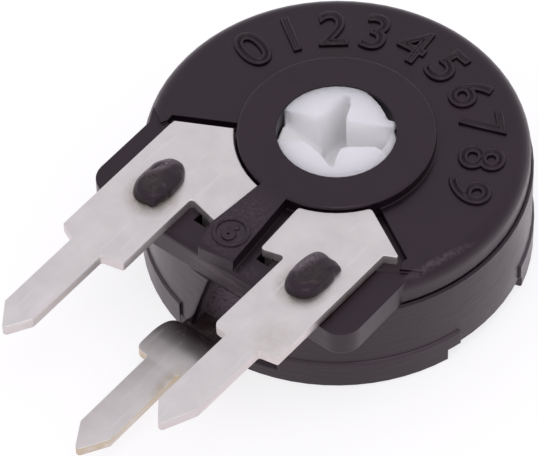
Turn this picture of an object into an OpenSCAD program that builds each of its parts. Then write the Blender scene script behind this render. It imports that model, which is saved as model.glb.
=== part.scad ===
// Single-turn trimmer potentiometer, set from the front, with its three pins on one side.
// Millimetres. +Z is the rotor's axis and leaves the front face, the pins run towards -Y,
// and the origin lies on the axis in the plane that the foot ring stands on.

/* [Front moulding] */
// Radius of the front moulding's wall
face_r = 5.05; // [4.98:0.01:5.08]
// Height of the flat front face
face_z = 3.78; // [3.74:0.01:3.84]
// Rounding between the front face and the wall
face_round = 0.41; // [0.20:0.01:0.45]
// Height of the pads that the end terminals lie on
pad_z = 3.70; // [3.64:0.01:3.72]
// Half width of the terminal block
block_x = 4.26; // [4.22:0.01:4.45]
// Distance from the axis to the ends of the block's two ears
ear_y = 5.02; // [4.96:0.01:5.10]
// Distance from the axis to the block's front wall between the ears
block_y = 5.10; // [5.06:0.01:5.12]
// Outer radius of the ring round the rotor
ring_r = 2.60; // [2.50:0.01:2.61]
// Height of the ring and of the rib between the terminals
ring_z = 4.10; // [4.05:0.01:4.20]
// Radius of the rotor's bearing in the ring
bore_r = 1.565; // [1.56:0.005:1.58]

/* [Cover] */
// Radius of the cover's wall
cover_r = 5.13; // [5.10:0.01:5.15]
// Height of the seam between cover and front moulding
seam_z = 2.90; // [2.88:0.01:2.95]
// Radius of the flange round the cover's rear edge
flange_r = 5.19; // [5.17:0.01:5.25]
// Height of the flange's front edge
flange_z = 0.93; // [0.85:0.01:1.00]
// Height of the foot ring
foot_z = 0.42; // [0.40:0.01:0.45]
// Thickness of the cover's wall
wall_t = 0.68; // [0.60:0.01:0.70]

/* [Rotor] */
// Radius of the rotor's hub
hub_r = 1.54; // [1.50:0.005:1.55]
// Height of the hub's front end
hub_z = 4.10; // [4.04:0.01:4.12]
// Depth of the driver recess
star_d = 1.80; // [0.80:0.05:2.20]
// Radius of the disc that carries the wiper spring
disc_r = 3.60; // [3.50:0.01:3.66]
// Turning angle from the middle to either end stop
half_turn = 117.5; // [105:0.5:120]

/* [Terminals] */
// Thickness of the terminal sheet
sheet_t = 0.30; // [0.25:0.01:0.30]
// Width of each pin
pin_w = 0.97; // [0.80:0.01:1.10]
// Height of the wiper terminal's pin, measured to its front surface
wiper_z = 1.28; // [1.20:0.01:1.40]
// Distance from the axis to the end of the wiper terminal's pin
wiper_y = 10.43; // [10.0:0.01:11.0]
// Height of each stake above its terminal
stake_h = 0.30; // [0.24:0.01:0.40]

/* [Hidden] */
$fn = 96;
black = [0.235, 0.204, 0.220];
tin = [0.82, 0.80, 0.81];
big = 20;
top_z = pad_z + sheet_t;            // front surface of the end terminals
roof_z = seam_z + 0.31;             // roof of the recess that holds the element
element_r = 4.55;
element_hole_r = 1.95;
neck_r = 1.85;                      // the rotor between its disc and the two bearings
cover_hole_r = 2.60;                // opening in the cover's floor, behind the rotor
foot_in_r = 4.25;                   // inside of the foot ring
cavity_r = cover_r - wall_t;        // inside of the cover
track_r = 3.30;                     // where the spring's front finger runs
disc_z = [1.75, 2.35];              // the rotor's disc, rear and front
stop_r = 3.75;                      // inside of the end-stop block in the cover
lug_r = 4.30;                       // outside of the rotor's stop lug
lug_a = 10;                         // half angle of the lug
stop_a = 180 - half_turn - lug_a - 0.6;
stake_x = 2.5;
stake_y = -4.17;
tab_x = 1.03;                       // contact tabs of the end terminals
tab_y = -3.98;
pip_r = 3.05;                       // circle of the collector's rear stakes
pip_depth = 0.03;                   // how far the stakes' ends stay above the foot's plane
collector_r = 3.50;
mouth_x = 1.12;                     // half width of the gap that the wiper terminal leaves by
wiper_x = -0.11;                    // middle of the wiper terminal's pin

// ---- outlines ----

function unit(v) = v / norm(v);
function turn(a, b) = b - a > 180 ? b - a - 360 : b - a < -180 ? b - a + 360 : b - a;
function arc(c, r, a0, a1, n) = [for (i = [0:n]) let (a = a0 + (a1 - a0) * i / n) c + r * [cos(a), sin(a)]];

// One corner b of an outline, between a and c, rounded to radius r
function corner(a, b, c, r, n) = let (
    u = unit(a - b), v = unit(c - b), h = acos(u * v) / 2,
    m = b + unit(u + v) * r / sin(h), s = b + u * r / tan(h) - m, e = b + v * r / tan(h) - m,
    a0 = atan2(s[1], s[0]))
    arc(m, r, a0, a0 + turn(a0, atan2(e[1], e[0])), n);

// An outline of [x, y, corner radius]
function rounded(p, n = 4) = let (k = len(p)) [for (i = [0:k - 1]) let (
    a = p[(i + k - 1) % k], b = p[i], c = p[(i + 1) % k])
    each (b[2] > 0 ? corner([a[0], a[1]], [b[0], b[1]], [c[0], c[1]], b[2], n) : [[b[0], b[1]]])];

// A sheet's cross-section: a middle line p thickened to t
function ribbon(p, t) = let (k = len(p) - 1,
    m = [for (i = [0:k]) let (d = unit(p[min(i + 1, k)] - p[max(i - 1, 0)])) [-d[1], d[0]] * t / 2])
    concat([for (i = [0:k]) p[i] + m[i]], [for (i = [k:-1:0]) p[i] - m[i]]);

module sector(r, a0, a1) { polygon(concat([[0, 0]], arc([0, 0], r / cos((a1 - a0) / 16), a0, a1, 8))); }
module slab(z0, z1) { translate([0, 0, z0]) linear_extrude(z1 - z0) children(); }
module oval(w, l) {
    for (s = [-1, 1]) translate([0, s * (l - w) / 2]) circle(d = w);
    square([w, l - w], center = true);
}
// A profile in (y, z) drawn out along X between x0 and x1
module along_x(x0, x1) { translate([x0, 0, 0]) rotate([90, 0, 90]) linear_extrude(x1 - x0) children(); }

// ---- front moulding ----

// Plan of the terminal block: two ears with rounded corners and a wall that stands proud between them
module block_plan() {
    ear_x = 2.90;
    polygon(rounded([[-block_x, -2.4, 0], [-block_x, -ear_y, 0.6], [-ear_x, -ear_y, 0],
        [-ear_x, -block_y, 0.04], [ear_x, -block_y, 0.04], [ear_x, -ear_y, 0],
        [block_x, -ear_y, 0.6], [block_x, -2.4, 0]], 10));
}

// Area of the face that is sunk to the pads, from just behind the terminals to beyond the ears
module pad_plan() {
    difference() {
        for (s = [0, 1]) mirror([s, 0]) polygon([[-0.1, 0], [2.30, -1.12], [2.43, -1.20], [3.88, -2.00],
            [3.86, -2.20], [3.95, -2.40], [4.00, -2.80], [6, -4], [6, -7], [-0.1, -7]]);
        circle(r = ring_r - 0.1);
    }
}

// Groove at the foot of that step, behind the edge of each terminal's wing
module groove_plan() {
    for (s = [0, 1]) mirror([s, 0]) difference() {
        polygon([[2.30, -1.12], [2.43, -1.20], [3.88, -2.00], [3.86, -2.22], [3.72, -2.26], [2.20, -1.42]]);
        circle(r = ring_r - 0.1);
    }
}

// The ears lie a little lower than the pads, from just inside the terminals' outer edges
module ear_plan() {
    for (s = [0, 1]) mirror([s, 0]) polygon([[3.40, -2.76], [4.15, -2.25], [6, -1], [6, -6], [3.40, -6]]);
}

// Rib from the ring to the front, wider at its outer end and rounded where it drops to the pad
module rib() {
    root = -1.5;
    end = -5.12;
    intersection() {
        slab(pad_z - 0.2, ring_z) polygon([[-0.40, root], [0.38, root], [0.40, -2.5], [0.64, end + 0.10],
            [-0.42, end], [-0.60, -4.3], [-0.40, -2.5]]);
        along_x(-2, 2) polygon(rounded([[root, seam_z, 0], [root, ring_z, 0],
            [end, ring_z, 0.22], [end, seam_z, 0]], 6));
    }
}

// A stake: an oval neck through the sheet and a domed head that was pressed over it
module stake() {
    dome = concat([[0, 0]], [[0.46, 0]], arc([0.28, stake_h - 0.20], 0.18, 0, 90, 4), [[0, stake_h - 0.02]]);
    slab(pad_z - 0.1, top_z) oval(0.70, 1.20);
    translate([0, 0, top_z]) {
        for (s = [-1, 1]) translate([0, s * 0.25, 0]) rotate_extrude() polygon(dome);
        rotate([90, 0, 0]) linear_extrude(0.50, center = true)
            union() { polygon(dome); mirror([1, 0]) polygon(dome); }
    }
}

module housing() {
    color(black) difference() {
        union() {
            difference() {
                union() {
                    rotate_extrude() polygon(concat(
                        [[0, seam_z], [face_r - 0.05, seam_z], [face_r, seam_z + 0.05]],
                        arc([face_r - face_round, face_z - face_round], face_round, 0, 90, 8),
                        [[0, face_z]]));
                    intersection() {
                        slab(seam_z, pad_z) block_plan();
                        along_x(-5, 5) polygon(rounded([[-2, seam_z, 0], [-2, pad_z, 0],
                            [-block_y, pad_z, 0.16], [-block_y, seam_z, 0]]));
                    }
                }
                slab(pad_z, 5) pad_plan();
                slab(pad_z - 0.15, 5) groove_plan();
                slab(pad_z - 0.04, 5) ear_plan();
            }
            rotate_extrude() polygon(concat(
                [[1, seam_z + 0.2], [ring_r + 0.05, face_z - 0.2], [ring_r, face_z - 0.05]],
                arc([ring_r - 0.08, ring_z - 0.08], 0.08, 0, 90, 4), [[1, ring_z]]));
            rib();
            for (s = [-1, 1]) translate([s * stake_x, stake_y, 0]) stake();
        }
        // rotor bearing
        slab(0, 5) circle(r = bore_r);
        // recess for the element, and the slots that the contact tabs pass
        slab(0, roof_z) circle(r = element_r + 0.05);
        for (s = [-1, 1]) slab(0, 5) translate([s * tab_x, tab_y - 0.11]) square([0.38, 0.50], center = true);
    }
}

// ---- rear cover ----

// The foot ring and the flange stop short at the sides, and the foot lets the wiper terminal out
module gaps(a0, a1) {
    for (s = [0, 1]) mirror([s, 0]) sector(7, a0, a1);
    translate([wiper_x - mouth_x, -7]) square([2 * mouth_x, 5]);
}

module cover() {
    color(black) difference() {
        union() {
            // cup: wall, floor and the opening over the collector
            rotate_extrude() polygon([[cover_hole_r, foot_z], [cover_r, foot_z],
                [cover_r, seam_z - 0.05], [cover_r - 0.05, seam_z], [cavity_r, seam_z],
                [cavity_r, flange_z], [cover_hole_r, flange_z]]);
            difference() {
                rotate_extrude() polygon([[foot_in_r, 0.03], [foot_in_r + 0.03, 0], [flange_r - 0.05, 0],
                    [flange_r, 0.05], [flange_r, flange_z - 0.04], [flange_r - 0.04, flange_z],
                    [cavity_r + 0.15, flange_z], [cavity_r + 0.15, foot_z], [foot_in_r, foot_z]]);
                slab(-1, foot_z) gaps(-18, 17);
                slab(foot_z, 2) difference() { gaps(-13.5, 16); circle(r = cover_r); }
            }
            // end stop for the rotor's lug, on the terminal side
            slab(foot_z + 0.1, seam_z - 0.02) intersection() {
                sector(7, -90 - stop_a, -90 + stop_a);
                difference() { circle(r = cavity_r + 0.2); circle(r = stop_r); }
            }
            // stakes that hold the collector
            for (a = [45, 135]) rotate(a) translate([pip_r, 0, 0]) {
                translate([0, 0, 0.10]) cylinder(r = 0.22, h = foot_z);
                translate([0, 0, pip_depth]) cylinder(r1 = 0.30, r2 = 0.38, h = 0.09);
            }
        }
        // slanting recess in the wall above the wiper terminal
        translate([0, -4.53, 0]) rotate([90, 0, 0]) linear_extrude(2)
            polygon([[-0.07, 3], [-0.83, foot_z - 0.01], [1.90, foot_z - 0.01], [1.14, 3]]);
    }
}

// ---- rotor and wiper spring ----

// Driver recess: two pointed arms and two wide ones between four lobes, one of them open at the hub's rim
module star_plan() {
    polygon(rounded([[0.70, -1.05, 0.04], [0.42, -0.42, 0.16], [0.52, -0.23, 0.12], [1.08, 0.20, 0.10],
        [1.31, 0.22, 0.05], [1.15, 0.81, 0.08], [0.96, 0.95, 0.06], [-0.05, 0.43, 0.06], [-0.41, 1.11, 0.03],
        [-0.51, 1.17, 0.04], [-0.62, 1.02, 0.04], [-0.62, 0.10, 0.16], [-1.70, -0.35, 0], [-1.25, -1.23, 0],
        [-0.45, -0.76, 0.20], [0.10, -0.83, 0.40]]));
}

// Shallow step from the closed wide arm to the rim
module step_plan() {
    polygon([[1.10, 0.20], [1.31, 0.22], [1.80, 0.10], [1.80, 1.10], [0.96, 0.95], [0.90, 0.60]]);
}

// Nick in the hub's front edge, as [angle, radius] along its inner side
nick = [[104, 1.60], [91, 1.47], [77, 1.415], [64, 1.385], [54, 1.36],
        [50, 1.48], [43, 1.455], [36, 1.36], [35, 1.60]];
module nick_plan() {
    polygon(concat([for (q = nick) q[1] * [cos(q[0]), sin(q[0])]], arc([0, 0], 1.8, 35, 104, 4)));
}

module rotor() {
    color([0.90, 0.89, 0.93]) difference() {
        union() {
            rotate_extrude() polygon([[0, 0.12], [hub_r - 0.05, 0.12], [hub_r, 0.17], [hub_r, foot_z + 0.03],
                [neck_r, foot_z + 0.03], [neck_r, disc_z[0]], [disc_r, disc_z[0]], [disc_r, disc_z[1]],
                [neck_r, disc_z[1]], [neck_r, roof_z - 0.03], [hub_r, roof_z - 0.03], [hub_r, hub_z - 0.03],
                [hub_r - 0.03, hub_z], [0, hub_z]]);
            slab(disc_z[0], disc_z[1]) intersection() {
                sector(7, 90 - lug_a, 90 + lug_a);
                difference() { circle(r = lug_r); circle(r = disc_r - 0.1); }
            }
        }
        slab(hub_z - star_d, 5) star_plan();
        slab(hub_z - 0.25, 5) step_plan();
        slab(hub_z - 0.45, 5) nick_plan();
        slab(1, 3) translate([0, 2.65]) square([0.86, 0.30], center = true);
    }
}

// Strip through the disc: the front finger runs on the track, the rear one on the collector
module wiper_spring() {
    color([0.80, 0.66, 0.38]) along_x(-0.40, 0.40) polygon(ribbon([
        [track_r + 0.25, seam_z - 0.17], [track_r, seam_z - 0.07], [track_r - 0.08, seam_z - 0.08],
        [2.86, 2.58], [2.65, 2.30], [2.65, 1.80], [2.50, 1.45], [2.12, foot_z + 0.09],
        [2.05, foot_z + 0.07], [1.98, foot_z + 0.16]], 0.09));
}

// ---- element and terminals ----

module resistive_element() {
    color([0.24, 0.17, 0.13]) slab(seam_z, roof_z) {
        difference() { circle(r = element_r); circle(r = element_hole_r); }
    }
}

// Plan of an end terminal, drawn on the +X side, with each corner as [x, y, radius].
// wing: inner end, outer end, angles of the hollow round the ring, corner radii of the hollow.
// stem, pin: inner and outer edge. heel, shoulder: the stem's inner and outer lower corner.
// tip: where the pin's inner chamfer starts, its point, and where its outer chamfer starts.
// lean: sideways shift for each millimetre below the stake.
function blade(wing, stem, heel, shoulder, pin, tip, lean) = let (
    r = ring_r + 0.06, a0 = wing[2], a1 = wing[3],
    p = [[pin[0], tip[0], 0.05], tip[1], [pin[1], tip[2], tip[3]], [pin[1], shoulder[1], 0.08], shoulder[0],
        [stem[1], -2.44, wing[1] > stem[1] ? 0.05 : 0], [wing[1], -2.25, 0.05],
        [r * cos(a1), r * sin(a1), wing[5]],
        for (i = [1:7]) [r * cos(a1 + (a0 - a1) * i / 8), r * sin(a1 + (a0 - a1) * i / 8), 0],
        [r * cos(a0), r * sin(a0), wing[4]], [wing[0], -4.20, 0.08], [stem[0], -4.00, 0.10],
        heel[0], [pin[0], heel[1], 0.08]])
    [for (q = p) [q[0] + lean * min(0, q[1] - stake_y), q[1], q[2]]];

module end_terminal(s, outline) {
    color(tin) {
        difference() {
            slab(pad_z, top_z) mirror([s < 0 ? 1 : 0, 0]) polygon(rounded(outline));
            slab(0, 5) translate([s * stake_x, stake_y]) oval(0.74, 1.24);
        }
        // contact tab, bent down from the wing to the element
        slab(roof_z, pad_z + 0.1) translate([s * tab_x, tab_y]) square([0.25, 0.20], center = true);
    }
}

module end_terminal_left() {
    stem = [1.55, 3.61];
    pin = 2.155;
    end_terminal(-1, blade([0.62, 3.59, -79.5, -34, 0, 0], stem, [[stem[0], -6.73, 0.06], -6.88],
        [[stem[1], -6.66, 0.06], -6.88], [pin, pin + pin_w],
        [-9.50, [2.58, -10.22, 0.10], -9.47, 0.05], 0));
}

module end_terminal_right() {
    stem = [1.525, 3.463];
    pin = 1.975;
    end_terminal(1, blade([0.86, 3.82, -73, -32, 0.10, 0.12], stem, [[stem[0], -6.84, 0.20], -6.84],
        [[stem[1], -6.65, 0.05], -6.76], [pin, pin + pin_w],
        [-9.45, [2.50, -10.09, 0.10], -9.10, 0.25], 0.014));
}

module wiper_terminal() {
    low = foot_z - sheet_t;
    r_up = 1.30;                     // radius of the wide upper bend, to the front surface
    r_low = 0.15;                    // radius of the lower bend, to the same surface
    slope = 55;                      // the length between the bends, measured from level
    n = [sin(slope), cos(slope)];
    up = [-6.45, wiper_z - r_up];
    run = (up[1] + (r_up + r_low) * n[1] - foot_z - r_low) / n[0];
    down = up + n * (r_up + r_low) + [cos(slope), -sin(slope)] * run;
    // side view: collector level, up outside the cover, then level as the pin
    side = concat([[-2.5, foot_z]], arc(down, r_low, 270, 270 - slope, 5), arc(up, r_up, 90 - slope, 90, 8),
        [[-big, wiper_z], [-big, wiper_z - sheet_t]], arc(up, r_up - sheet_t, 90, 90 - slope, 8),
        arc(down, r_low + sheet_t, 270 - slope, 270, 8), [[-2.5, low]]);
    stem = 0.92;                     // half width of the stem
    half = [[0, -wiper_y - 0.08, 0.10], [pin_w / 2, -9.70, 0.05], [pin_w / 2, -7.04, 0.10],
        [stem, -7.04, 0.22], [stem, -2.5, 0]];
    plan = rounded(concat(half, [for (i = [4:-1:1]) [-half[i][0], half[i][1], half[i][2]]]));
    color(tin) {
        intersection() {
            along_x(-2, 2) polygon(side);
            slab(-1, 3) translate([wiper_x, 0]) polygon(plan);
        }
        slab(low, foot_z) difference() {
            circle(r = collector_r);
            circle(r = hub_r + 0.07);
            for (a = [45, 135]) rotate(a) translate([pip_r, 0]) circle(r = 0.24);
        }
    }
}

housing();
cover();
rotor();
wiper_spring();
resistive_element();
end_terminal_left();
end_terminal_right();
wiper_terminal();
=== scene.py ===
import math

import bmesh
import bpy
from mathutils import Matrix, Vector, noise


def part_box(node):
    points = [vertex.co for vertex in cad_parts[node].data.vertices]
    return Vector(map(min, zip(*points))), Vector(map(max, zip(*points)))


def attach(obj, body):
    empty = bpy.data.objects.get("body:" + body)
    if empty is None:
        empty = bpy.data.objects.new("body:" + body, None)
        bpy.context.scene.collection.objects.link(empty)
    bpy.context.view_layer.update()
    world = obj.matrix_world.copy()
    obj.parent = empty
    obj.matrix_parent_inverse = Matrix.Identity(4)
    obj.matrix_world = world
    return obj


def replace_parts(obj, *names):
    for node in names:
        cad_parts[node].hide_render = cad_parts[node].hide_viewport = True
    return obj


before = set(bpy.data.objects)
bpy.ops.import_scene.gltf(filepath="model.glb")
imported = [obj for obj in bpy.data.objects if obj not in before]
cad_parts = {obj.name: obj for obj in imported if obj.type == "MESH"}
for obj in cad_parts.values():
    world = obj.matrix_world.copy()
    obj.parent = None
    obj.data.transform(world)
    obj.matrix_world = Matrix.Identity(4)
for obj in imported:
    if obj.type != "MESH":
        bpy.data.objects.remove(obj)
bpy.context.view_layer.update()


# ---------------------------------------------------------------------------
# Camera: a long lens that looks down on the front face from the right of the pins.
# The part lies on its back, so the floor is the plane of the foot ring.
MM = 0.001
turn = math.radians(39.01)
rise = math.radians(49.47)
roll = math.radians(-0.61)
distance = 118.11
watched = Vector((0, 0, 4.106 * MM))                       # rotor's axis at the ring's top
aim_left, aim_down = 0.01480, 0.02131                      # the lens points past it by these slopes
away = Vector((math.cos(rise) * math.sin(turn), -math.cos(rise) * math.cos(turn), math.sin(rise)))
across = Vector((0, 0, 1)).cross(away).normalized()
over = away.cross(across)
right = across * math.cos(roll) + over * math.sin(roll)
up = over * math.cos(roll) - across * math.sin(roll)
aim = (-away - aim_left * right - aim_down * up).normalized()
side = aim.cross(up).normalized()
facing = Matrix((side, side.cross(aim), -aim)).transposed().to_quaternion()
camera_data = bpy.data.cameras.new("camera")
camera_data.lens = 305.6
camera_data.sensor_width = 36
camera_data.clip_start = 0.01
camera_data.clip_end = 5
camera = bpy.data.objects.new("camera", camera_data)
camera.matrix_world = Matrix.LocRotScale(watched + away * distance * MM, facing, None)
bpy.context.scene.collection.objects.link(camera)
bpy.context.scene.camera = camera


# ---------------------------------------------------------------------------
# Studio: a white table under an even white dome, with one weak soft lamp above.
# The table shows white to the camera and in reflections, and keeps the part's shadow.
lamp_data = bpy.data.lights.new("lamp_above", "AREA")
lamp_data.shape = "DISK"
lamp_data.size = 0.070
lamp_data.energy = 0.022
lamp = bpy.data.objects.new("lamp_above", lamp_data)
lamp.location = (0.040, -0.030, 0.150)
lamp.rotation_mode = "QUATERNION"
lamp.rotation_quaternion = lamp.location.to_track_quat("Z", "Y")
bpy.context.scene.collection.objects.link(lamp)

bpy.context.scene.view_settings.view_transform = "Standard"
world = bpy.data.worlds.new("studio")
bpy.context.scene.world = world
world.use_nodes = True
nodes, links = world.node_tree.nodes, world.node_tree.links
nodes.clear()
dome = nodes.new("ShaderNodeBackground")
dome.inputs["Color"].default_value = (1, 0.955, 1.035, 1)
dome.inputs["Strength"].default_value = 0.80
backdrop = nodes.new("ShaderNodeBackground")
backdrop.inputs["Color"].default_value = (1, 1, 1, 1)
backdrop.inputs["Strength"].default_value = 1.0
ray = nodes.new("ShaderNodeLightPath")
mixed = nodes.new("ShaderNodeMixShader")
out = nodes.new("ShaderNodeOutputWorld")
links.new(ray.outputs["Is Camera Ray"], mixed.inputs["Fac"])
links.new(dome.outputs[0], mixed.inputs[1])
links.new(backdrop.outputs[0], mixed.inputs[2])
links.new(mixed.outputs[0], out.inputs["Surface"])

table_finish = bpy.data.materials.new("white_table")
table_finish.use_nodes = True
nodes, links = table_finish.node_tree.nodes, table_finish.node_tree.links
nodes.clear()
ray = nodes.new("ShaderNodeLightPath")
card = nodes.new("ShaderNodeBsdfDiffuse")
card.inputs["Color"].default_value = (0.35, 0.35, 0.35, 1)
# its own glow, one strength in reflections and another to the camera
bounced, mirrored, seen, glow = [nodes.new("ShaderNodeMath") for _ in range(4)]
bounced.operation = "MAXIMUM"
links.new(ray.outputs["Is Glossy Ray"], bounced.inputs[0])
links.new(ray.outputs["Is Transmission Ray"], bounced.inputs[1])
mirrored.operation = "MULTIPLY"
mirrored.inputs[1].default_value = 0.77
links.new(bounced.outputs[0], mirrored.inputs[0])
seen.operation = "MULTIPLY"
seen.inputs[1].default_value = 0.74
links.new(ray.outputs["Is Camera Ray"], seen.inputs[0])
glow.operation = "MAXIMUM"
links.new(mirrored.outputs[0], glow.inputs[0])
links.new(seen.outputs[0], glow.inputs[1])
tint = nodes.new("ShaderNodeMix")
tint.data_type = "RGBA"
tint.inputs["A"].default_value = (1, 0.93, 0.98, 1)
tint.inputs["B"].default_value = (1, 0.995, 1, 1)
links.new(ray.outputs["Is Camera Ray"], tint.inputs["Factor"])
shine = nodes.new("ShaderNodeEmission")
links.new(tint.outputs["Result"], shine.inputs["Color"])
links.new(glow.outputs[0], shine.inputs["Strength"])
both = nodes.new("ShaderNodeAddShader")
links.new(card.outputs[0], both.inputs[0])
links.new(shine.outputs[0], both.inputs[1])
out = nodes.new("ShaderNodeOutputMaterial")
links.new(both.outputs[0], out.inputs["Surface"])
mesh = bpy.data.meshes.new("table")
mesh.from_pydata([(-1, -1, 0), (1, -1, 0), (1, 1, 0), (-1, 1, 0)], [], [(0, 1, 2, 3)])
table = bpy.data.objects.new("table", mesh)
table.data.materials.append(table_finish)
table.location.z = -0.01 * MM
bpy.context.scene.collection.objects.link(table)


# ---------------------------------------------------------------------------
# Front moulding: black thermoplastic, semi-matt from the tool, with softly rounded edges,
# faint flow marks and a fine grain. Ring, rib, ears and stakes are one piece with it.
def shader(name):
    """A new material, its node tree and its surface node."""
    made = bpy.data.materials.new(name)
    made.use_nodes = True
    tree = made.node_tree
    return made, tree, tree.nodes["Principled BSDF"]


def placed(tree, centre=(0, 0, 0), size=(1, 1, 1), angle=0):
    """Object coordinates counted from centre, in units of size, turned by angle about Z."""
    place = tree.nodes.new("ShaderNodeTexCoord")
    shape = tree.nodes.new("ShaderNodeMapping")
    shape.vector_type = "TEXTURE"
    shape.inputs["Location"].default_value = [v * MM for v in centre]
    shape.inputs["Rotation"].default_value = (0, 0, math.radians(angle))
    shape.inputs["Scale"].default_value = size
    tree.links.new(place.outputs["Object"], shape.inputs["Vector"])
    return shape.outputs["Vector"]


def speckle(tree, scale, detail, rough, stretch=(1, 1, 1)):
    """Cloudy pattern with scale cells in a metre."""
    cloud = tree.nodes.new("ShaderNodeTexNoise")
    cloud.inputs["Scale"].default_value = scale
    cloud.inputs["Detail"].default_value = detail
    cloud.inputs["Roughness"].default_value = rough
    tree.links.new(placed(tree, size=stretch), cloud.inputs["Vector"])
    return cloud.outputs["Fac"]


def spread(tree, source, low, high, to_low=0, to_high=1):
    """The source's range from low to high, spread from to_low to to_high and cut off beyond."""
    remap = tree.nodes.new("ShaderNodeMapRange")
    for name, value in (("From Min", low), ("From Max", high), ("To Min", to_low), ("To Max", to_high)):
        remap.inputs[name].default_value = value
    tree.links.new(source, remap.inputs["Value"])
    return remap.outputs["Result"]


def two_tone(tree, source, dark, light):
    """Colour between dark and light. Either may be a colour or another pattern's output."""
    blend = tree.nodes.new("ShaderNodeMix")
    blend.data_type = "RGBA"
    for name, value in (("A", dark), ("B", light)):
        if isinstance(value, tuple):
            blend.inputs[name].default_value = (*value, 1)
        else:
            tree.links.new(value, blend.inputs[name])
    tree.links.new(source, blend.inputs["Factor"])
    return blend.outputs["Result"]


def combine(tree, how, first, second):
    """Two patterns, or a pattern and a number, added or multiplied and kept from 0 to 1."""
    step = tree.nodes.new("ShaderNodeMath")
    step.operation = how
    step.use_clamp = True
    tree.links.new(first, step.inputs[0])
    if isinstance(second, (int, float)):
        step.inputs[1].default_value = second
    else:
        tree.links.new(second, step.inputs[1])
    return step.outputs["Value"]


def patch(tree, centre, size, angle=0, soft=0.5):
    """1 inside an ellipsoid with half axes size (mm) round centre, fading to 0 at its edge."""
    ball = tree.nodes.new("ShaderNodeTexGradient")
    ball.gradient_type = "SPHERICAL"
    tree.links.new(placed(tree, centre, [v * MM for v in size], angle), ball.inputs["Vector"])
    return spread(tree, ball.outputs["Fac"], 0, soft)


def relief(tree, source, height, strength, under=None):
    """Fine unevenness of this height (mm), on top of the relief under it."""
    bump = tree.nodes.new("ShaderNodeBump")
    bump.inputs["Distance"].default_value = height * MM
    bump.inputs["Strength"].default_value = strength
    tree.links.new(source, bump.inputs["Height"])
    if under:
        tree.links.new(under, bump.inputs["Normal"])
    return bump.outputs["Normal"]


def soft_edges(tree, radius):
    """Edges that catch the light as if rounded to this radius (mm)."""
    edge = tree.nodes.new("ShaderNodeBevel")
    edge.samples = 8
    edge.inputs["Radius"].default_value = radius * MM
    return edge.outputs["Normal"]


BLACK_LOW = (0.005, 0.002, 0.0045)
BLACK_HIGH = (0.009, 0.004, 0.008)
SCUFFED = (0.060, 0.048, 0.055)
PALE = (0.170, 0.140, 0.158)
# brownish colour of the painted shade on the stake heads
PAINTED_SHADE_BROWN = (0.025, 0.022, 0.015)


def black_thermoplastic(name, edge, drawn, scuffs_and_painted_light):
    """edge: radius of its edges. drawn: height of the fine level lines that ejection left on
    the walls. scuffs_and_painted_light: [centre, half axes, angle, colour, strength] of each
    rubbed place, and of each patch of painted light or painted shade."""
    made, tree, face = shader(name)
    flow = speckle(tree, 900, 4, 0.55)
    grain = speckle(tree, 22000, 3, 0.6)
    smear = speckle(tree, 9000, 3, 0.6, (10, 10, 1))
    rub = speckle(tree, 11000, 4, 0.7)
    colour = two_tone(tree, spread(tree, flow, 0.35, 0.68), BLACK_LOW, BLACK_HIGH)
    rough = spread(tree, flow, 0.3, 0.7, 0.27, 0.36)
    # rubbed places, and patches of painted light and painted shade
    for centre, size, angle, tone, strength in scuffs_and_painted_light:
        uneven = spread(tree, rub, 0.38, 0.66, 0, strength)
        mark = combine(tree, "MULTIPLY", patch(tree, centre, size, angle), uneven)
        colour = two_tone(tree, mark, colour, tone)
        rough = combine(tree, "ADD", rough, combine(tree, "MULTIPLY", mark, 0.3))
    tree.links.new(colour, face.inputs["Base Color"])
    tree.links.new(rough, face.inputs["Roughness"])
    lines = relief(tree, smear, drawn, 0.6, soft_edges(tree, edge))
    waves = relief(tree, flow, 0.03, 0.5, lines)
    tree.links.new(relief(tree, grain, 0.004, 0.5, waves), face.inputs["Normal"])
    # the wall of the rotor's bearing is rubbed dull
    bore = patch(tree, (0, 0, 3.2), (1.68, 1.68, 2.5), soft=0.02)
    tree.links.new(spread(tree, bore, 0, 1, 0.5, 0.2), face.inputs["Specular IOR Level"])
    face.inputs["IOR"].default_value = 1.50
    face.inputs["Specular Tint"].default_value = (1.0, 0.86, 0.93, 1)
    return made


def finish_node(name, finish):
    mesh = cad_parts[name].data
    mesh.materials.clear()
    mesh.materials.append(finish)


front_black = black_thermoplastic("black_thermoplastic", 0.05, 0.006, [
    [(4.52, -1.50, 3.64), (1.20, 0.15, 0.20), 72, SCUFFED, 1.7],
    [(4.30, -2.20, 3.55), (0.35, 0.17, 0.25), 60, SCUFFED, 1.5],
    [(0.80, -4.80, 3.72), (0.55, 0.35, 0.10), 0, SCUFFED, 0.5],
    [(0.00, -4.10, 4.10), (0.90, 1.50, 0.10), 0, SCUFFED, 0.6],
    [(0.55, -5.10, 3.18), (1.00, 0.25, 0.32), 0, SCUFFED, 1.0],
    [(0.10, -5.10, 3.36), (1.10, 0.25, 0.14), 0, PALE, 0.5],
    [(1.15, -5.10, 3.02), (0.70, 0.25, 0.12), 0, PALE, 0.5]])
finish_node("housing", front_black)


# ---------------------------------------------------------------------------
# Stake heads: the front moulding's two posts, pressed over the end terminals with a hot tool,
# which left uneven oval heads with a chewed rim.
half_w, half_l, crown = 0.53, 0.83, 0.39                   # half width, half length and height
oval = 2.3                                                 # exponent: 2 is an ellipse, more is squarer
lean_x, lean_y = 0.09, -0.05                               # how far the crown is off the middle
wander = 0.025                                             # how far rim and skin stray in and out
rim_waves, skin_waves, dent_grain = 2.4, 3.2, 11           # and how finely, the dents' floor as well
rings, spokes = 22, 96


def add_piece(name, mesh, finish, body):
    mesh.materials.clear()
    mesh.materials.append(finish)
    piece = bpy.data.objects.new(name, mesh)
    bpy.context.scene.collection.objects.link(piece)
    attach(piece, body)
    return piece


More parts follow.
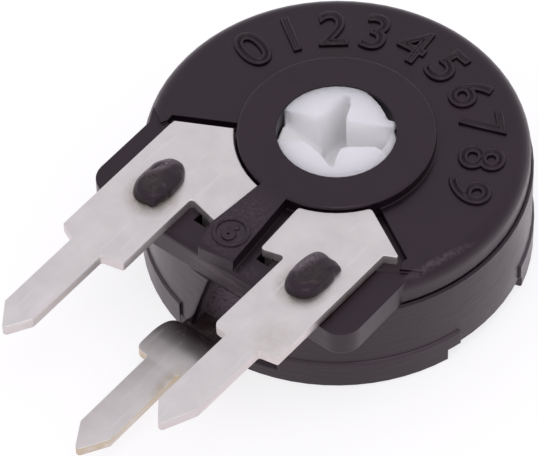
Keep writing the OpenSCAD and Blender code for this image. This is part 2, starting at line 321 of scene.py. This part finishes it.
def rim_reach(a, nicks, seed):
    """Distance (mm) from the head's middle to its rim, in the direction a."""
    reach = (abs(math.cos(a) / half_w) ** oval + abs(math.sin(a) / half_l) ** oval) ** (-1 / oval)
    for at, depth, wide in nicks:
        gap = (math.degrees(a) - at + 180) % 360 - 180
        reach -= depth * math.exp(-(gap / wide) ** 2)
    return reach + wander * noise.noise(Vector((math.cos(a) * rim_waves, math.sin(a) * rim_waves, seed)))


def head_point(a, t, nicks, dents, seed):
    """Point (mm) of the head's skin in the direction a, from the crown (t = 0) to the rim (t = 1)."""
    flat = t ** 0.75
    reach = rim_reach(a, nicks, seed) * flat
    x = reach * math.cos(a) + lean_x * (1 - flat * flat)
    y = reach * math.sin(a) + lean_y * (1 - flat * flat)
    z = crown * (1 - flat ** oval) ** 0.5
    inside = 1 - flat ** 6
    z += inside * wander * noise.noise(Vector((x * skin_waves, y * skin_waves, seed)))
    for dx, dy, wide, deep in dents:
        near = math.exp(-(((x - dx) / wide) ** 2 + ((y - dy) / wide) ** 2))
        rough = 0.8 * noise.noise(Vector((x * dent_grain, y * dent_grain, seed)))
        z -= inside * near * deep * (1 + rough)
    return x, y, z


def stake_head(name, middle, nicks, dents, seed):
    """nicks: [angle, depth, spread] of each bite out of the rim, or burr where depth is negative.
    dents: [x, y, width, depth] of each hollow that the tool left."""
    built = bmesh.new()
    grid = []
    for k in range(rings + 1):
        row = []
        for i in range(spokes if k else 1):
            x, y, z = head_point(2 * math.pi * i / spokes, k / rings, nicks, dents, seed)
            row.append(built.verts.new(((middle[0] + x) * MM, (middle[1] + y) * MM, (foot + z) * MM)))
        grid.append(row)
    for i in range(spokes):
        j = (i + 1) % spokes
        built.faces.new((grid[0][0], grid[1][i], grid[1][j]))
        for k in range(1, rings):
            built.faces.new((grid[k][i], grid[k + 1][i], grid[k + 1][j], grid[k][j]))
    built.faces.new(reversed(grid[-1]))
    for f in built.faces:
        f.smooth = len(f.verts) < 5
    mesh = bpy.data.meshes.new(name)
    built.to_mesh(mesh)
    built.free()
    return add_piece(name, mesh, pressed_black, "body")


pressed_black = black_thermoplastic("pressed_black", 0.02, 0.006, [
    # painted highlights: pale patches on the heads' upper left
    [(-2.85, -3.85, 4.20), (0.42, 0.75, 0.40), -8, PALE, 1.5],
    [(2.12, -3.95, 4.20), (0.40, 0.75, 0.40), -8, PALE, 1.2],
    # painted shade: brown patches on the heads' lower halves and at the left head's lower rim
    [(-2.55, -4.45, 4.30), (0.45, 0.55, 0.30), 0, PAINTED_SHADE_BROWN, 1.6],
    [(2.60, -4.25, 4.30), (0.45, 0.50, 0.30), 0, PAINTED_SHADE_BROWN, 1.0],
    [(-2.45, -4.90, 4.05), (0.35, 0.25, 0.15), 0, PAINTED_SHADE_BROWN, 1.6]])
tin_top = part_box("end_terminal_left")[1].z / MM            # front surface of the end terminals
foot = tin_top - 0.02                                      # the heads are let into the sheet a little
stake_head("stake_head_left", (-2.53, -4.10),
           [(66, 0.06, 16), (20, 0.03, 25), (297, -0.09, 9), (320, 0.03, 12)],
           [(0.36, -0.42, 0.13, 0.10), (-0.10, -0.20, 0.16, 0.04), (-0.28, 0.15, 0.10, 0.03)], 3.1)
stake_head("stake_head_right", (2.46, -4.08),
           [(53, -0.07, 7), (36, 0.03, 6), (88, 0.12, 18), (119, -0.03, 10), (285, 0.04, 20)],
           [(0.14, -0.18, 0.22, 0.05), (-0.18, -0.45, 0.12, 0.03), (0.30, -0.50, 0.12, 0.08)], 8.4)


# ---------------------------------------------------------------------------
# Raised marks of the front moulding: plain numerals round the face, and a cavity number
# in a ring on the rib, all cut into the mould and so proud of the plastic.
def raised_numerals():
    """Text set round an arc about the origin, feet towards it: closed strokes with a rolled rim."""
    tree = bpy.data.node_groups.new("raised_numerals", "GeometryNodeTree")
    tree.interface.new_socket("Geometry", in_out="OUTPUT", socket_type="NodeSocketGeometry")
    tree.interface.new_socket("Text", in_out="INPUT", socket_type="NodeSocketString")
    for name in ("Height", "Radius", "First Angle", "Step", "Level", "Proud", "Rim"):
        tree.interface.new_socket(name, in_out="INPUT", socket_type="NodeSocketFloat")
    tree.interface.new_socket("Material", in_out="INPUT", socket_type="NodeSocketMaterial")
    link = tree.links.new
    given, out = tree.nodes.new("NodeGroupInput"), tree.nodes.new("NodeGroupOutput")

    def geometry(*kinds):
        return [tree.nodes.new("GeometryNode" + kind) for kind in kinds]

    def shader_nodes(*kinds):
        return [tree.nodes.new("ShaderNode" + kind) for kind in kinds]

    # each figure is first moved so that the middle of its foot is at the origin
    text, here, home = geometry("StringToCurves", "InputPosition", "TranslateInstances")
    from_foot, back = shader_nodes("VectorMath", "VectorMath")
    text.align_x, text.align_y, text.pivot_mode = "LEFT", "BOTTOM_BASELINE", "BOTTOM_CENTER"
    back.operation = "SCALE"
    back.inputs["Scale"].default_value = -1.0
    link(given.outputs["Text"], text.inputs["String"])
    link(given.outputs["Height"], text.inputs["Size"])
    link(here.outputs[0], from_foot.inputs[0])
    link(text.outputs["Pivot Point"], from_foot.inputs[1])
    link(from_foot.outputs[0], back.inputs[0])
    link(text.outputs["Curve Instances"], home.inputs["Instances"])
    link(back.outputs[0], home.inputs["Translation"])
    # then out to the radius, and round by its number of steps
    out_to, index, spread_round = geometry("TranslateInstances", "InputIndex", "RotateInstances")
    place, steps, angle, spin = shader_nodes("CombineXYZ", "Math", "Math", "CombineXYZ")
    steps.operation = "MULTIPLY"
    link(given.outputs["Radius"], place.inputs["Y"])
    link(home.outputs[0], out_to.inputs["Instances"])
    link(place.outputs[0], out_to.inputs["Translation"])
    link(index.outputs[0], steps.inputs[0])
    link(given.outputs["Step"], steps.inputs[1])
    link(steps.outputs[0], angle.inputs[0])
    link(given.outputs["First Angle"], angle.inputs[1])
    link(angle.outputs[0], spin.inputs["Z"])
    link(out_to.outputs[0], spread_round.inputs["Instances"])
    link(spin.outputs[0], spread_round.inputs["Rotation"])
    for step in (home, out_to, spread_round):
        step.inputs["Local Space"].default_value = False
    # strokes: a filled face, raised, and closed below with the same face turned over
    plain, fill, rise, flip, strokes, weld = geometry(
        "RealizeInstances", "FillCurve", "ExtrudeMesh", "FlipFaces", "JoinGeometry", "MergeByDistance")
    rise.inputs["Individual"].default_value = False
    weld.inputs["Distance"].default_value = 1e-7
    link(spread_round.outputs[0], plain.inputs[0])
    link(plain.outputs[0], fill.inputs["Curve"])
    link(fill.outputs[0], rise.inputs["Mesh"])
    link(given.outputs["Proud"], rise.inputs["Offset Scale"])
    link(fill.outputs[0], flip.inputs["Mesh"])
    link(flip.outputs[0], strokes.inputs[0])
    link(rise.outputs["Mesh"], strokes.inputs[0])
    link(strokes.outputs[0], weld.inputs[0])
    # rolled rim along each outline, level with the strokes' top
    bead, tube, smooth, lift = geometry("CurvePrimitiveCircle", "CurveToMesh", "SetShadeSmooth", "Transform")
    top, = shader_nodes("CombineXYZ")
    bead.inputs["Resolution"].default_value = 8
    link(given.outputs["Rim"], bead.inputs["Radius"])
    link(plain.outputs[0], tube.inputs["Curve"])
    link(bead.outputs["Curve"], tube.inputs["Profile Curve"])
    link(tube.outputs[0], smooth.inputs[0])
    link(given.outputs["Proud"], top.inputs["Z"])
    link(smooth.outputs[0], lift.inputs["Geometry"])
    link(top.outputs[0], lift.inputs["Translation"])
    # both together, laid on the face
    both, lay, real, paint = geometry("JoinGeometry", "Transform", "RealizeInstances", "SetMaterial")
    level, = shader_nodes("CombineXYZ")
    link(weld.outputs[0], both.inputs[0])
    link(lift.outputs[0], both.inputs[0])
    link(given.outputs["Level"], level.inputs["Z"])
    link(both.outputs[0], lay.inputs["Geometry"])
    link(level.outputs[0], lay.inputs["Translation"])
    link(lay.outputs[0], real.inputs[0])
    link(real.outputs[0], paint.inputs[0])
    link(given.outputs["Material"], paint.inputs["Material"])
    link(paint.outputs[0], out.inputs[0])
    return tree


def grown(tree, name, **given):
    """A plain mesh grown by the node tree with these named inputs."""
    holder = bpy.data.objects.new(name + "_holder", bpy.data.meshes.new(name + "_holder"))
    bpy.context.scene.collection.objects.link(holder)
    made = holder.modifiers.new(name, "NODES")
    made.node_group = tree
    sockets = {s.name: s.identifier for s in tree.interface.items_tree if s.in_out == "INPUT"}
    for key, what in given.items():
        made[sockets[key.replace("_", " ")]] = what
    view = bpy.context.evaluated_depsgraph_get()
    mesh = bpy.data.meshes.new_from_object(holder.evaluated_get(view))
    holder.modifiers.clear()
    bpy.data.objects.remove(holder)
    mesh.name = name
    return mesh


numerals = raised_numerals()
face_top, ring_top = 3.78, 4.10                            # heights of the face and of the rib
# each mark starts a little below its surface, so that it is one with it
face_numbers = grown(
    numerals, "face_numerals", Text="0123456789", Height=1.62 * MM, Radius=3.24 * MM,
    First_Angle=math.radians(74), Step=math.radians(-17),
    Level=(face_top - 0.05) * MM, Proud=0.085 * MM, Rim=0.055 * MM, Material=front_black)
add_piece("face_numerals", face_numbers, front_black, "body")

mark_y = -4.30                                             # middle of the mark on the rib
half_figure = 0.26
cavity_number = grown(
    numerals, "cavity_number", Text="6", Height=0.72 * MM, Radius=0.0, First_Angle=0.0, Step=0.0,
    Level=(ring_top - 0.04) * MM, Proud=0.05 * MM, Rim=0.045 * MM, Material=front_black)
for v in cavity_number.vertices:
    v.co.y += (mark_y - half_figure) * MM
mark_r, bead_r = 0.44, 0.065                               # the ring round the figure, and its bead
turns, sides = 40, 8
cavity = bmesh.new()
cavity.from_mesh(cavity_number)
loops = []
for i in range(turns):
    a = 2 * math.pi * i / turns
    loop = []
    for k in range(sides):
        b = 2 * math.pi * k / sides
        reach = mark_r + bead_r * math.cos(b)
        x, y, z = reach * math.cos(a), reach * math.sin(a) + mark_y, ring_top + bead_r * math.sin(b)
        loop.append(cavity.verts.new((x * MM, y * MM, z * MM)))
    loops.append(loop)
for i in range(turns):
    for k in range(sides):
        m = (k + 1) % sides
        cavity.faces.new((loops[i - 1][k], loops[i][k], loops[i][m], loops[i - 1][m])).smooth = True
cavity.to_mesh(cavity_number)
cavity.free()
add_piece("cavity_number", cavity_number, front_black, "body")


# ---------------------------------------------------------------------------
# Rear cover: the same thermoplastic, moulded as a cup and joined to the front along the seam.
# The recess above the wiper's terminal is painted pale, painted light against the shade in it,
# and the upward-facing ledge of the flange is painted lighter, also painted light.
def along(tree, axis):
    """Object coordinate (m) along the axis X, Y or Z."""
    parts = tree.nodes.new("ShaderNodeSeparateXYZ")
    tree.links.new(placed(tree), parts.inputs[0])
    return parts.outputs[axis]


def upward(tree):
    """1 where the surface faces up, 0 on a wall and -1 where it faces down."""
    facing = tree.nodes.new("ShaderNodeTexCoord")
    parts = tree.nodes.new("ShaderNodeSeparateXYZ")
    tree.links.new(facing.outputs["Normal"], parts.inputs[0])
    return parts.outputs["Z"]


cover_black = black_thermoplastic("cover_black", 0.045, 0.010, [
    # painted light: a pale patch over the recess above the wiper's terminal lifts its shade
    [(0.20, -4.40, 1.30), (2.20, 0.60, 2.80), 0, PALE, 4.5]])
tree = cover_black.node_tree
face = tree.nodes["Principled BSDF"]
# painted light: where the flange's ledge faces up it is painted lighter
below_wall = spread(tree, along(tree, "Z"), 1.8 * MM, 1.6 * MM)
ledge = combine(tree, "MULTIPLY", spread(tree, upward(tree), 0.5, 0.9), below_wall)
moulded = face.inputs["Base Color"].links[0].from_socket
tree.links.new(two_tone(tree, ledge, moulded, (0.085, 0.070, 0.079)), face.inputs["Base Color"])
finish_node("cover", cover_black)


# ---------------------------------------------------------------------------
# Rotor: smooth white moulding, slightly cool, with light scattered a little inside it. Its
# driver recess is worn soft, two of its arms slope up to the rim, and the rim has a torn burr.
white, tree, face = shader("white_rotor_plastic")
cloud = speckle(tree, 1500, 3, 0.5)
height = along(tree, "Z")
outside = two_tone(tree, spread(tree, cloud, 0.3, 0.7), (0.845, 0.84, 0.94), (0.875, 0.87, 0.97))
# painted light: the driver recess is painted nearly pure white against the shade inside it
painted_light_in_recess = spread(tree, height, 4.08 * MM, 3.9 * MM)
tree.links.new(two_tone(tree, painted_light_in_recess, outside, (0.985, 0.985, 0.985)), face.inputs["Base Color"])
tree.links.new(relief(tree, cloud, 0.01, 0.3), face.inputs["Normal"])
tree.links.new(spread(tree, height, 4.0 * MM, 3.6 * MM, 1, 0.15), face.inputs["Subsurface Weight"])
face.inputs["Subsurface Scale"].default_value = 1.4 * MM
face.inputs["Subsurface Radius"].default_value = (1, 0.95, 0.95)
face.inputs["Roughness"].default_value = 0.38


def arm_ramp(angle, half, inner, outer, side, floor=2.2):
    """Outline, floor height and sloping top of a ramp up an arm of the recess, all in mm.
    angle, half: its middle and half width at the rim, in degrees. side: half width inside.
    inner, outer: (radius, height) of its two ends."""
    middle = math.radians(angle)
    ux, uy = math.cos(middle), math.sin(middle)
    plan = []
    for k in (-2, -1, 0, 1, 2):
        a = middle + math.radians(half * k / 2)
        plan.append((outer[0] * math.cos(a), outer[0] * math.sin(a)))
    plan += [(inner[0] * ux - w * uy, inner[0] * uy + w * ux) for w in (side, -side)]

    def top(x, y):
        rise = (x * ux + y * uy - inner[0]) / (outer[0] - inner[0])
        return inner[1] + rise * (outer[1] - inner[1])
    return plan, floor, top


def add_ramp(work, plan, floor, top):
    """A block on the outline plan, from the height floor up to top(x, y)."""
    low = [work.verts.new((x * MM, y * MM, floor * MM)) for x, y in plan]
    high = [work.verts.new((x * MM, y * MM, top(x, y) * MM)) for x, y in plan]
    work.faces.new(reversed(low))
    work.faces.new(high)
    for k in range(len(plan)):
        work.faces.new((low[k - 1], low[k], high[k], high[k - 1]))


def soft_copy(node, voxel, passes, ramps):
    """The node's shape and the ramps as one welded skin, with every edge softened as a moulding's
    are. voxel: size (mm) of the cells that the skin is laid over. passes: how often it is smoothed."""
    held = bpy.data.objects.new(node + "_soft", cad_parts[node].data.copy())
    bpy.context.scene.collection.objects.link(held)
    work = bmesh.new()
    work.from_mesh(held.data)
    bmesh.ops.remove_doubles(work, verts=work.verts, dist=1e-7)
    for plan, floor, top in ramps:
        add_ramp(work, plan, floor, top)
    work.to_mesh(held.data)
    work.free()
    shell = held.modifiers.new("shell", "REMESH")
    shell.mode = "VOXEL"
    shell.voxel_size = voxel * MM
    shell.use_smooth_shade = True
    even = held.modifiers.new("even", "SMOOTH")
    even.factor = 0.5
    even.iterations = passes
    view = bpy.context.evaluated_depsgraph_get()
    mesh = bpy.data.meshes.new_from_object(held.evaluated_get(view))
    bpy.data.objects.remove(held)
    return mesh


def wear(mesh, places):
    """Rounds the recess further. places: [centre, reach, passes] of each place, inside the rim."""
    rim_r = 1.42
    work = bmesh.new()
    work.from_mesh(mesh)
    for centre, reach, passes in places:
        near = [v for v in work.verts if (v.co - Vector(centre) * MM).length < reach * MM
                and math.hypot(v.co.x, v.co.y) < rim_r * MM]
        for _ in range(passes):
            bmesh.ops.smooth_vert(
                work, verts=near, factor=0.5, use_axis_x=True, use_axis_y=True, use_axis_z=True)
    work.to_mesh(mesh)
    work.free()


def fill_out_rim(mesh):
    """Gives the hub's front rim back what the smoothing took off it."""
    inner_r, outer_r, lowest, most = 1.30, 1.60, 3.3, 0.032
    for v in mesh.vertices:
        out = math.hypot(v.co.x, v.co.y) / MM
        if v.co.z > lowest * MM and inner_r < out < outer_r:
            share = min((out - inner_r) / 0.12, (v.co.z / MM - lowest) / 0.2, 1)
            v.co.xy *= 1 + most * share / out


soft_rotor = soft_copy("rotor", 0.05, 4, [
    arm_ramp(208, 24, (0.45, 2.80), (1.51, 3.60), 0.55),
    arm_ramp(22, 17, (1.02, 3.15), (1.40, 3.97), 0.25),
    arm_ramp(22, 17, (1.32, 3.95), (1.50, 3.97), 0.42),
    arm_ramp(51, 3, (1.30, 4.00), (1.53, 4.05), 0.10, floor=3.80)])
wear(soft_rotor, [[(-0.85, 0.25, 3.9), 0.62, 60], [(-0.62, 0.75, 3.9), 0.45, 25]])
fill_out_rim(soft_rotor)
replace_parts(add_piece("rotor_moulding", soft_rotor, white, "rotor"), "rotor")


# ---------------------------------------------------------------------------
# Terminals: stamped from thin sheet brass that was tin plated first, so that the faces are a
# satin grey and the sheared edges are dull. The punch rolled the upper edges over. The two end
# terminals are staked on, with a painted contact shadow round the stake heads. The third rises
# from the rear and is painted dark where it leaves the body, a painted reflection of the black body.
DULL_BRASS = (0.50, 0.42, 0.27)
BROWN = (0.26, 0.20, 0.15)
OLIVE = (0.34, 0.31, 0.25)
# colour of the painted dark reflection of the black body on the wiper's terminal
PAINTED_BODY_REFLECTION = (0.12, 0.080, 0.082)


def tinned_sheet(name, cut, bare_to, stains_and_painted_shade):
    """cut: colour of the sheared edges, which shows as far up the sheet as y = bare_to (mm).
    stains_and_painted_shade: [centre, half axes, angle, colour, strength, evenness] of each dull or
    dirty place, and of each painted contact shadow or painted dark reflection."""
    made, tree, face = shader(name)
    cloud = speckle(tree, 1400, 5, 0.6)
    streak = speckle(tree, 5000, 3, 0.6, (1, 8, 1))
    rub = speckle(tree, 4000, 4, 0.65)
    colour = two_tone(tree, spread(tree, cloud, 0.3, 0.7), (0.695, 0.68, 0.655), (0.775, 0.76, 0.73))
    level = upward(tree)
    on_edge = spread(tree, combine(tree, "MULTIPLY", level, level), 0.10, 0.02)
    sheared = combine(tree, "MULTIPLY", on_edge, spread(tree, cloud, 0.3, 0.6, 0.4, 1))
    bare = spread(tree, along(tree, "Y"), bare_to * MM, (bare_to - 0.4) * MM)
    colour = two_tone(tree, combine(tree, "MULTIPLY", sheared, bare), colour, cut)
    for centre, size, angle, tone, strength, even in stains_and_painted_shade:
        uneven = spread(tree, rub, 0.35, 0.60, even, 1)
        mark = combine(tree, "MULTIPLY", patch(tree, centre, size, angle), uneven)
        colour = two_tone(tree, combine(tree, "MULTIPLY", mark, strength), colour, tone)
    scratch = spread(tree, speckle(tree, 5000, 2, 0.5, (1, 10, 1)), 0.60, 0.68, 0, 0.35)
    colour = two_tone(tree, scratch, colour, (0.84, 0.80, 0.82))
    tree.links.new(colour, face.inputs["Base Color"])
    tree.links.new(spread(tree, streak, 0.3, 0.7, 0.34, 0.48), face.inputs["Roughness"])
    tree.links.new(relief(tree, streak, 0.003, 0.5), face.inputs["Normal"])
    face.inputs["Metallic"].default_value = 0.85
    return made


def pressed_blank(node, name, finish, rolled, on_top):
    """The node's sheet with its upper edges rolled over to the radius rolled (mm).
    on_top(p): is the point p (mm) on an upper edge?"""
    work = bmesh.new()
    work.from_mesh(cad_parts[node].data)
    bmesh.ops.remove_doubles(work, verts=work.verts, dist=2e-7)
    bmesh.ops.dissolve_limit(work, angle_limit=math.radians(1), verts=work.verts, edges=work.edges)
    sharp = [e for e in work.edges if len(e.link_faces) == 2 and e.calc_face_angle() > math.radians(60)]
    upper = [e for e in sharp if on_top(e.verts[0].co / MM) and on_top(e.verts[1].co / MM)]
    bmesh.ops.bevel(work, geom=upper, offset=rolled * MM, offset_type="OFFSET", segments=4,
                    profile=0.55, affect="EDGES", clamp_overlap=True)
    bmesh.ops.dissolve_degenerate(work, dist=2e-6, edges=work.edges)
    bmesh.ops.triangulate(work, faces=work.faces)
    for f in work.faces:
        f.smooth = True
    for e in work.edges:
        e.smooth = len(e.link_faces) == 2 and e.calc_face_angle() < math.radians(35)
    mesh = bpy.data.meshes.new(name)
    work.to_mesh(mesh)
    work.free()
    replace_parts(add_piece(name, mesh, finish, "body"), node)


end_tin = tinned_sheet("tinned_sheet", (0.70, 0.66, 0.64), 0, [
    [(2.95, -6.30, 3.90), (0.65, 0.80, 0.40), 0, DULL_BRASS, 0.20, 0],
    [(-1.95, -4.90, 3.68), (0.25, 1.90, 0.20), 0, BROWN, 0.65, 0.5],
    [(3.48, -3.90, 3.70), (0.25, 1.90, 0.20), 0, BROWN, 0.75, 0.5],
    [(1.95, -3.30, 3.78), (1.20, 0.90, 0.20), 0, BROWN, 0.5, 0.3],
    # painted contact shadow round the two stake heads, in a greenish-brown tone
    [(-2.42, -4.55, 4.00), (0.80, 0.80, 0.12), 0, OLIVE, 0.85, 0.6],
    [(2.48, -4.50, 4.00), (0.78, 0.78, 0.12), 0, OLIVE, 0.85, 0.6]])
wiper_tin = tinned_sheet("tinned_wiper_sheet", (0.62, 0.55, 0.42), -5.7, [
    [(0.42, -7.40, 1.20), (0.35, 0.90, 0.30), 0, DULL_BRASS, 0.5, 0.4],
    # painted dark reflection of the black body, where the wiper's terminal leaves it
    [(-0.10, -4.90, 0.50), (2.40, 1.75, 2.00), 0, PAINTED_BODY_REFLECTION, 1.0, 0.85]])
for node, name in (("end_terminal_left", "left_blade"), ("end_terminal_right", "right_blade")):
    pressed_blank(node, name, end_tin, 0.12, lambda p: p.z > tin_top - 0.02)
out_y, bend_z = -5.45, 0.45                                # where the wiper's terminal has left the body
pressed_blank("wiper_terminal", "wiper_blade", wiper_tin, 0.09, lambda p: p.y < out_y and p.z > bend_z)


# ---------------------------------------------------------------------------
# Inside, out of sight: the brass wiper spring and the laminate ring with its carbon track.
# The spring turns with the rotor, and the ring is held between the two mouldings.
spring_brass, tree, face = shader("spring_brass")
cloud = speckle(tree, 6000, 3, 0.6)
tree.links.new(two_tone(tree, cloud, (0.60, 0.44, 0.20), (0.72, 0.56, 0.28)), face.inputs["Base Color"])
face.inputs["Metallic"].default_value = 1.0
face.inputs["Roughness"].default_value = 0.3
finish_node("wiper_spring", spring_brass)

laminate, tree, face = shader("carbon_on_laminate")
carbon = two_tone(tree, speckle(tree, 9000, 5, 0.7), (0.030, 0.020, 0.014), (0.060, 0.038, 0.024))
tree.links.new(carbon, face.inputs["Base Color"])
face.inputs["Roughness"].default_value = 0.42
finish_node("resistive_element", laminate)
